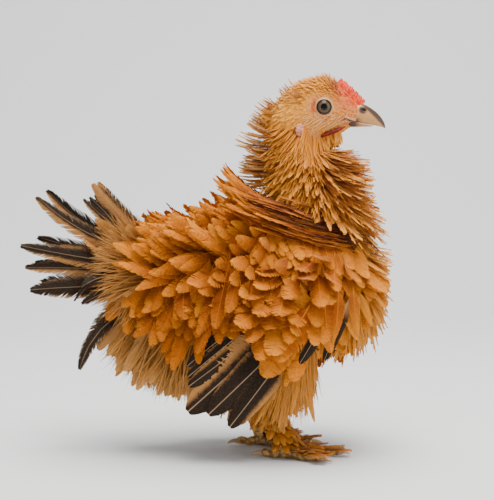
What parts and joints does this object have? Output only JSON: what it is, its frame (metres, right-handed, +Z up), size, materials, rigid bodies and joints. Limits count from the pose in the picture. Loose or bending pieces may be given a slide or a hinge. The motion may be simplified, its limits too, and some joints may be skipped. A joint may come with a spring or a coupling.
{
  "type": "frizzle chicken",
  "caption": "Life-size still frizzle bantam pullet standing on feathered feet, its neck, body, wing and tail feathers curling outwards.",
  "frame": {"origin": "on the floor under the middle of the bird's outline, at the level of its soles", "axes": "+X the way the bird faces, +Y its left side, +Z up"},
  "size_m": [0.2312, 0.1343, 0.2327],
  "materials": {
    "buff_feather": "soft matt feather",
    "dark_feather": "satin flight feather",
    "red_skin": "soft bare skin",
    "horn": "smooth horn",
    "eye": "wet and clear",
    "leg_scale": "fine scales"
  },
  "bodies": {
    "root": {"bill_lower": "horn", "bill_upper": "horn", "claw_left_1": "horn", "claw_left_2": "horn", "claw_left_3": "horn", "claw_left_4": "horn", "claw_right_1": "horn", "claw_right_2": "horn", "claw_right_3": "horn", "claw_right_4": "horn", "comb": "red_skin", "earlobe_left": "red_skin", "earlobe_right": "red_skin", "eye_left": "eye", "eye_right": "eye", "foot_left": "leg_scale", "foot_right": "leg_scale", "head": "buff_feather", "neck": "buff_feather", "shank_left": "leg_scale", "shank_right": "leg_scale", "tail": "dark_feather", "thigh_left": "buff_feather", "thigh_right": "buff_feather", "torso": "buff_feather", "wattle_left": "red_skin", "wattle_right": "red_skin", "wing_left": "dark_feather", "wing_right": "dark_feather"}
  },
  "joints": []
}
